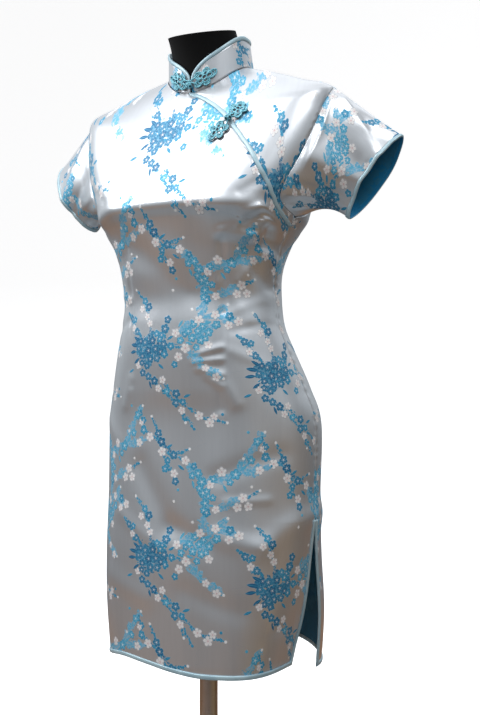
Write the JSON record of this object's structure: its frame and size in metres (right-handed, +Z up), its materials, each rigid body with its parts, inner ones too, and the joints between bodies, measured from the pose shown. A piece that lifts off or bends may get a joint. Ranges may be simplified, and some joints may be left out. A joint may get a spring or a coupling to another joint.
{
  "type": "cheongsam dress on a limbless dress form and stand",
  "caption": "Short-sleeved satin cheongsam with stand collar, curved side placket, frog fastenings and side slits, worn by a limbless dress form on a round-based stand.",
  "frame": {"origin": "centre of the underside of the stand's round base, on the floor", "axes": "+Z up along the stand's pole, the front of the dress faces -Y, the wearer's left side is +X"},
  "size_m": [0.5409, 0.3, 1.0406],
  "materials": {
    "satin": "silver-white satin brocade with woven blue and white plum blossom",
    "binding": "pale blue satin binding",
    "cord": "turquoise satin cord, coiled",
    "form": "smooth matte black",
    "steel": "brushed"
  },
  "bodies": {
    "root": {"front_flap": "satin", "under_flap": "satin", "back": "satin", "sleeve_left": "satin", "sleeve_right": "satin", "collar": "satin", "placket_binding": "binding", "hem_binding_front": "binding", "hem_binding_back": "binding", "cuff_binding_left": "binding", "cuff_binding_right": "binding", "collar_binding": "binding", "collar_frog_left": "cord", "collar_frog_right": "cord", "collar_frog_knot": "cord", "placket_frog_left": "cord", "placket_frog_right": "cord", "placket_frog_knot": "cord", "form_torso": "form", "base": "steel", "pole": "steel", "flange": "steel"}
  },
  "joints": []
}
